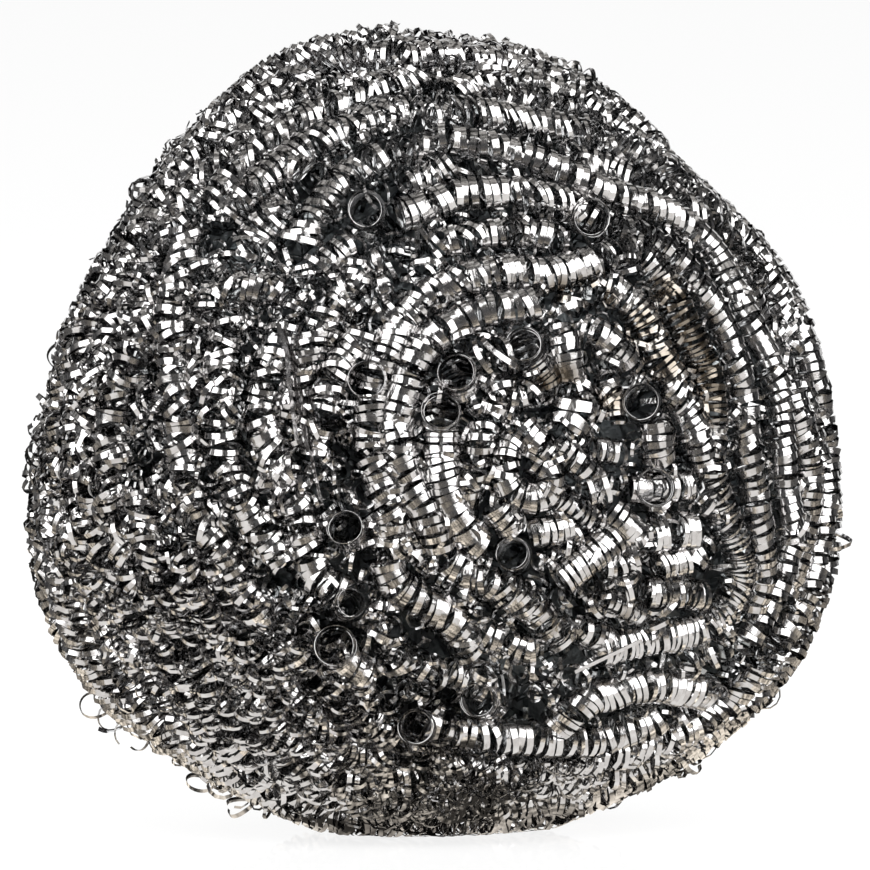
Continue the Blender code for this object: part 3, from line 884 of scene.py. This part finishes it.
def somewhere(kind, rng):        # a direction from the bun's middle, and a curl's sway and middle there
    direction = unit(rng.normal(size=(1, 3)))
    sway = rng.uniform(*kind["sway"])
    middle = onSkin(direction, sway + rng.uniform(*kind["lift"]))[0]
    return direction[0], sway, middle


def nearMouth(point, clear):
    return np.linalg.norm(openPlaces - point, axis=1).min() < clear


def strayCurls():
    rng = np.random.default_rng(seeds["curls"])
    look, sides = looks["tangled"], turnSides["curl"]
    patterns = [evenSpring("curl", curls["radius"], count * look["pitch"], count, look, sides)
                for count in (1, 2)]
    springs = []
    while len(springs) < curls["count"]:
        direction, sway, middle = somewhere(curls, rng)
        if rng.random() > looseness(middle) * curls["share"] or middle[2] < curls["lowest"]:
            continue
        lowFront = middle[2] < curls["sparseBelow"] and middle @ toEye > windings["front"]
        if lowFront and rng.random() < curls["leftOutBelow"]:
            continue
        if middle[2] > windings["hoopsAbove"] and rng.random() < curls["leftOutAbove"]:
            continue
        if nearMouth(middle, curls["clear"]):
            continue
        along = rng.normal(size=3)
        along = unit(along - curls["flatness"] * (along @ direction) * direction)
        pattern = patterns[int(rng.random() < 0.5)]
        springs.append(placeCurl(pattern, sway, "tangled", sides, middle, along, rng))
    patterns.append(evenSpring("loop", curls["radius"], look["pitch"], 1, look, turnSides["loop"]))
    for across, down, sway, turnRight, turnUp in loops:
        middle = (bunMiddle + toRight * (across - drawing["middle"]) * drawing["unit"]
                  + toTop * ((drawing["floor"] - down) * drawing["unit"] - middleHeight * toTop[2]))
        along = unit(toEye + turnRight * toRight + turnUp * toTop)
        springs.append(placeCurl(patterns[2], sway, "tangled", turnSides["loop"], middle, along, rng))
    for pattern in patterns:
        bpy.data.objects.remove(pattern)
    return springs


def fineCurls():
    rng = np.random.default_rng(seeds["fineCurls"])
    sides = turnSides["fineCurl"]
    pattern = evenSpring("fineCurl", fine["radius"], looks["fine"]["pitch"], 1, looks["fine"], sides)
    springs = []
    while len(springs) < fine["count"]:
        direction, sway, middle = somewhere(fine, rng)
        tooMany = rng.random() > looseness(middle) * curls["share"]
        if tooMany or middle[2] < fine["lowest"] or direction @ toEye < fine["facing"]:
            continue
        lowOrHigh = not curls["sparseBelow"] <= middle[2] <= windings["hoopsAbove"]
        if lowOrHigh and rng.random() < fine["leftOut"] or nearMouth(middle, fine["clear"]):
            continue
        along = unit(rng.normal(size=3))
        springs.append(placeCurl(pattern, sway, "fine", sides, middle, along, rng))
    bpy.data.objects.remove(pattern)
    return springs


hanging = {                  # turns that hang out of the low windings and lie over each other like scales
    "across": (70, 720, 16),     # on the drawing: from, to, step
    "down": (575, 840, 10),
    "off": (7, 5),               # how far each lies from its place in that grid, across and down
    "left": 250,                 # left of this they hang from the top of that range
    "low": 755,                  # and far to the right from here
    "slope": 0.80,               # between the two
    "roundDown": 440,            # they stay within a round on the drawing
    "roundFlat": 1.03,
    "roundRadius": 385,
    "lowest": 0.0007,
    "radius": 0.0013,
    "sway": (0.0011, 0.0017),
    "depth": (0.0012, 0.0002),
    "depthAt": (760, 830),       # where those depths are reached, down the drawing
    "share": 0.85,
    "facing": (0.60, 0.25, 0.62, 0.16),  # towards the eye, out of the bun, up and anywhere
}


def hangingRings():
    rng = np.random.default_rng(seeds["hanging"])
    look, sides = looks["hanging"], turnSides["hanging"]
    pattern = evenSpring("hangingRing", hanging["radius"], look["pitch"], 1, look, sides)
    eyeward, outwards, upwards, anywhere = hanging["facing"]
    offAcross, offDown = hanging["off"]
    springs = []
    for down in range(*hanging["down"]):
        for across in range(*hanging["across"]):
            place = (across + rng.uniform(-offAcross, offAcross), down + rng.uniform(-offDown, offDown))
            away = math.hypot(place[0] - drawing["middle"],
                              (place[1] - hanging["roundDown"]) * hanging["roundFlat"])
            if away >= hanging["roundRadius"] or rng.random() > hanging["share"]:
                continue
            start = hanging["down"][0] + max(0, place[0] - hanging["left"]) * hanging["slope"]
            if place[1] < min(start, hanging["low"]):
                continue
            depth = np.interp(place[1], hanging["depthAt"], hanging["depth"])
            middle = onDrawing([place], depth)[0]
            sway = rng.uniform(*hanging["sway"])
            if middle[2] < hanging["lowest"] or nearMouth(middle, curls["clear"]):
                continue
            along = unit(eyeward * toEye + outwards * unit(middle - bunMiddle) + upwards * toTop
                         + anywhere * rng.normal(size=3))
            springs.append(placeCurl(pattern, sway, "hanging", sides, middle, along, rng))
    bpy.data.objects.remove(pattern)
    return springs


strips = [                   # straight runs of ribbon: way on the drawing, width
    ([(277, 322), (286, 350), (290, 390), (297, 440)], 0.00066),
    ([(284, 330), (292, 360), (298, 400), (308, 452)], 0.00050),
    ([(299, 382), (306, 420), (312, 460), (322, 505)], 0.00066),
    ([(309, 395), (316, 425)], 0.00050),
    ([(575, 672), (605, 658), (642, 640)], 0.00040),
]
stripDepth = 0.0001
stripRun = 0.0010            # step of its way
stripLean = 0.03             # how much it faces left
stripTilt = 0.006


def straightStrip(name, places, width, rng):
    line = smoothWay(onDrawing(places, stripDepth), stripRun)[0]
    strip = added(name, bpy.ops.mesh.primitive_circle_add, vertices=3, radius=width / 2)
    screwed(strip, 0, 1, len(line) - 1)
    ahead = unit(np.gradient(line, axis=0))
    outward = unit(line - bunMiddle - stripLean * toRight + rng.normal(size=3) * stripTilt)
    side = unit(np.cross(outward, ahead))
    outward = np.cross(ahead, side)
    corners = np.array((-width / 2, width / 2, 0.0))[None, :, None] * side[:, None] \
        - np.array((0, 0, ribbon["thickness"]))[None, :, None] * outward[:, None]
    putPlaces(strip.data, line[:, None] + corners)
    way = np.zeros((len(line), 3, 3))
    way[:, :, 0] = np.array((-0.5, 0.5, 0.0)) * width * 1000
    way[:, :, 1] = np.arange(len(line))[:, None]
    storeOn(strip.data, "ribbonWay", way.reshape(-1, 3))
    bpy.ops.object.mode_set(mode="EDIT")
    bpy.ops.mesh.select_all(action="SELECT")
    bpy.ops.mesh.normals_make_consistent(inside=False)
    bpy.ops.object.mode_set(mode="OBJECT")
    return strip


pieces = []
frontSprings, drawnMarks, openPlaces = drawnSprings()
pieces.append(joinPiece("frontWindings", frontSprings))
print("front windings laid")

hollowMarks = np.vstack([onDrawing([place], ribbon["strand"] / 2) for place, radius, deeper in hollows])
outerWays = spiralWays(windings["step"], ribbon["strand"] / 2, np.vstack((drawnMarks, hollowMarks)),
                       windings["clear"], windings["wander"], windings["first"])
outerWays.sort(key=lambda way: way[:, 1].mean())
third = len(outerWays) // 3
for part, name in enumerate(("foreWindings", "rimWindings", "backWindings")):
    chosen = outerWays[part * third:(part + 1) * third if part < 2 else None]
    pieces.append(joinPiece(name, woundSprings(chosen, seeds["outer"][part], turnSides["outer"], name)))
print("outer windings laid")

stripRng = np.random.default_rng(seeds["strips"])
straightStrips = [straightStrip("strip" + str(number), places, width, stripRng)
                  for number, (places, width) in enumerate(strips)]
pieces.append(joinPiece("strayCurls", straightStrips + strayCurls()))
pieces.append(joinPiece("fineCurls", fineCurls()))
pieces.append(joinPiece("hangingRings", hangingRings()))
print("stray curls laid")

for layer in ("deep", "inner"):
    drop = ribbon["strand"] / 2 + windings[layer + "Drop"]
    openings = np.vstack([onDrawing([place], drop) for place, radius, deeper in hollows[:openHollows]]
                         + [openPlaces])
    ways = spiralWays(windings[layer + "Step"], drop, openings, windings["deepClear"],
                      windings["wander"], windings["first"] * windings["lowerFirst"])
    springs = woundSprings(ways, seeds["deep"], turnSides[layer], layer)
    pieces.append(joinPiece(layer + "Windings", springs))
print("deep windings laid")


# packed middle

def packedMiddle():
    middle = added("packedMiddle", bpy.ops.mesh.primitive_ico_sphere_add, subdivisions=6, radius=1.0)
    middle.data.name = middle.name
    directions = unit(placesOf(middle.data))
    polar = np.arccos(np.clip(-directions[:, 1], -1, 1))
    lumps = packing["lumps"] * np.sin(polar * halfSizes.mean() / ribbon["strand"] * 2 * math.pi)
    places = onSkin(directions, packing["depth"] + lumps)
    for place, radius, deeper in hollows:
        away = np.linalg.norm(places - onDrawing([place], packing["depth"]), axis=1)
        lumps = lumps + deeper * np.exp(-(away / radius) ** 2)
    putPlaces(middle.data, onSkin(directions, packing["depth"] + lumps))
    middle.data.update()
    bpy.ops.object.shade_smooth()
    middle.data.materials.append(packed)
    return middle


pieces.append(packedMiddle())
print("packed middle made")

for piece in pieces:
    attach(piece, "root")
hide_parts("wound_ribbon_coil")


# floor, light and camera

studio = {
    "floorSize": 8.0,
    "floorTone": 0.18,
    "floorWhite": {"From Min": 0.05, "From Max": 0.20, "To Min": 0.93},  # painted shade: its glow is a little darker close to the bun
    "floorGloss": 0.02,
    "floorIOR": 1.0125,      # near 1, so that the mirror image shows only at a low angle
    "worldLight": 0.3,
    "frameWidth": 0.0870,    # what the picture is across at the bun
    "frameMiddle": 435,      # middle of the drawing's frame, across and down
    "sensor": 36,
    "clipEnd": 20,
    "domeRadius": 1.6,
    "domeOpen": -1.2,        # behind this the dome is cut away
    "domeTones": [(0.0, (0.085, 0.085, 0.088)), (0.30, (0.10, 0.10, 0.10)), (0.50, (0.235, 0.23, 0.222)),
                  (1.0, (0.35, 0.34, 0.325))],
    "domeStreaks": (3.2, 3.2, 0.5),
    "cardReach": 1.5,
    "lowCardHeight": 0.0003,
    "lowCardTones": [(0.0, (0.44, 0.41, 0.37)), (0.02, (0.60, 0.55, 0.475)), (0.030, (0.80, 0.72, 0.60)),
                     (0.055, (0.36, 0.325, 0.275)), (0.12, (0.14, 0.135, 0.13)), (1.0, (0.10, 0.10, 0.10))],
    "lowCardStreaks": (85, 85, 1),
    "streakRange": {"From Min": 0.45, "From Max": 0.62, "To Min": 0.10, "To Max": 2.9},
    "bounceCorners": [(0.02, 0.36), (0.02, -0.36), (0.75, 0.3), (0.75, -0.3)],   # how far, and the angle
    "bounceHeight": 0.0006,
    "bounceTone": (1.0, 0.98, 0.95),
    "bounceLight": 1.2,
    "boxAngle": 46,          # left and right of the eye
    "boxRise": 20,
    "boxDistance": 0.9,
}


def whiteFloor():            # white to the eye, with the bun's shadow and a faint mirror image close to it
    floor = added("floor", bpy.ops.mesh.primitive_plane_add, size=studio["floorSize"])
    material, tree = newMaterial("whiteFloor")
    level = mapped(tree, fromOrigin(tree, objectPlace(tree)), studio["floorWhite"])
    tone = studio["floorTone"]
    shader = tree.nodes["Principled BSDF"]
    setInputs(tree, shader, {"Base Color": (tone, tone, tone, 1), "Roughness": 1.0, "Specular IOR Level": 0.0,
                             "Emission Color": (1, 1, 1, 1),
                             "Emission Strength": worked(tree, "MULTIPLY", seenWhite(tree), level)})
    mirror = newNode(tree, "ShaderNodeBsdfGlossy", {"Roughness": studio["floorGloss"]})
    lowAngle = newNode(tree, "ShaderNodeFresnel", {"IOR": studio["floorIOR"]})
    mixSurface(tree, lowAngle.outputs["Fac"], shader.outputs["BSDF"], mirror.outputs["BSDF"])
    floor.data.materials.append(material)


def seenWhite(tree):         # 1 for camera, glossy and transmission rays
    rays = tree.nodes.new("ShaderNodeLightPath").outputs
    seen = worked(tree, "MAXIMUM", rays["Is Camera Ray"], rays["Is Glossy Ray"])
    return worked(tree, "MAXIMUM", seen, rays["Is Transmission Ray"])


def whiteWorld():
    world = bpy.data.worlds.new("studioWorld")
    scene.world = world
    world.use_nodes = True
    tree = world.node_tree
    level = mapped(tree, seenWhite(tree), {"To Min": studio["worldLight"]})
    setInputs(tree, tree.nodes["Background"], {"Color": (1, 1, 1, 1), "Strength": level})


def pointAt(thing, place, target):
    thing.location = place
    thing.rotation_mode = "QUATERNION"
    thing.rotation_quaternion = (Vector(target) - Vector(place)).to_track_quat("-Z", "Y")


def softbox(name, azimuth, width, height, radiance):
    lamp = bpy.data.lights.new(name, "AREA")
    lamp.shape = "RECTANGLE"
    lamp.size, lamp.size_y = width, height
    lamp.energy = radiance * width * height * math.pi
    box = bpy.data.objects.new(name, lamp)
    scene.collection.objects.link(box)
    back = Vector(pointing(drawing["turn"] + math.radians(azimuth), math.radians(studio["boxRise"])))
    pointAt(box, back * studio["boxDistance"] + Vector(bunMiddle), bunMiddle)
    box.visible_camera = False


def eye():
    camera = bpy.data.objects.new("eye", bpy.data.cameras.new("eye"))
    scene.collection.objects.link(camera)
    scene.camera = camera
    camera.data.sensor_width = studio["sensor"]
    camera.data.lens = studio["sensor"] * drawing["eyeDistance"] / studio["frameWidth"]
    camera.data.clip_end = studio["clipEnd"]
    height = (drawing["floor"] - studio["frameMiddle"]) * drawing["unit"] / toTop[2]
    side = (studio["frameMiddle"] - drawing["middle"]) * drawing["unit"]
    target = toRight * side + np.array((0, 0, height))
    pointAt(camera, target + toEye * drawing["eyeDistance"], target)


def glowing(name, measure, reach, stops, strength=1.0, streaks=None, oneSided=False):
    material, tree = newMaterial(name)
    tree.nodes.remove(tree.nodes["Principled BSDF"])
    place = objectPlace(tree)
    tint = tones(tree, mapped(tree, measure(tree, place), {"From Max": reach}), stops)
    glow = newNode(tree, "ShaderNodeEmission", {"Color": tint, "Strength": strength})
    if streaks:              # streaks of light and dark, as stands, walls and curtains give
        uneven = noise(tree, stretched(tree, place, streaks), 1.0, 4.0, 0.65)
        setInputs(tree, glow, {"Strength": mapped(tree, uneven, studio["streakRange"])})
    if oneSided:
        side = tree.nodes.new("ShaderNodeNewGeometry").outputs["Backfacing"]
        through = tree.nodes.new("ShaderNodeBsdfTransparent").outputs["BSDF"]
        mixSurface(tree, side, glow.outputs["Emission"], through)
    else:
        setInputs(tree, tree.nodes["Material Output"], {"Surface": glow.outputs["Emission"]})
    return material


def onlyInTheMetal(card, material):      # a card that only reflections show, as a flag in a studio
    card.data.materials.append(material)
    card.visible_camera = card.visible_diffuse = card.visible_shadow = False
    card.visible_transmission = card.visible_volume_scatter = False


def frontDome():             # the dark room in front of the bun; behind it all is white
    dome = added("frontDome", bpy.ops.mesh.primitive_uv_sphere_add, segments=48, ring_count=24,
                 radius=studio["domeRadius"])
    bpy.ops.object.mode_set(mode="EDIT")
    work = bmesh.from_edit_mesh(dome.data)
    away = [face for face in work.faces
            if np.array(face.calc_center_median()) @ toEye < studio["domeOpen"]]
    bmesh.ops.delete(work, geom=away, context="FACES")
    bmesh.update_edit_mesh(dome.data)
    bpy.ops.object.mode_set(mode="OBJECT")
    onlyInTheMetal(dome, glowing("frontDome", aboveOrigin, studio["domeRadius"], studio["domeTones"],
                                 streaks=studio["domeStreaks"]))


def bounceCard(name, azimuth):   # under each softbox, as a glossy floor would mirror it
    card = added(name, bpy.ops.mesh.primitive_plane_add, size=1)
    for corner, (far, wide) in zip(card.data.vertices, studio["bounceCorners"]):
        turn = drawing["turn"] + math.radians(azimuth) + wide
        corner.co = (far * math.sin(turn), -far * math.cos(turn), studio["bounceHeight"])
    card.data.update()
    white = [(0.0, studio["bounceTone"]), (1.0, studio["bounceTone"])]
    onlyInTheMetal(card, glowing(name, fromOrigin, studio["cardReach"], white, studio["bounceLight"],
                                 oneSided=True))


def lowCard():               # tan card on the floor before the bun
    card = added("lowCard", bpy.ops.mesh.primitive_circle_add, (0, 0, studio["lowCardHeight"]),
                 vertices=64, radius=studio["cardReach"], fill_type="NGON")
    bpy.ops.object.transform_apply(location=True, rotation=False, scale=False)
    onlyInTheMetal(card, glowing("lowCard", fromOrigin, studio["cardReach"], studio["lowCardTones"],
                                 streaks=studio["lowCardStreaks"], oneSided=True))


whiteFloor()
whiteWorld()
frontDome()
lowCard()
bounceCard("leftBounce", -studio["boxAngle"])
bounceCard("rightBounce", studio["boxAngle"])
softbox("leftBox", -studio["boxAngle"], 0.84, 1.4, 3.4)      # width, height and radiance
softbox("rightBox", studio["boxAngle"], 0.98, 1.4, 3.5)
eye()
scene.view_settings.view_transform = "Standard"
print("studio set")
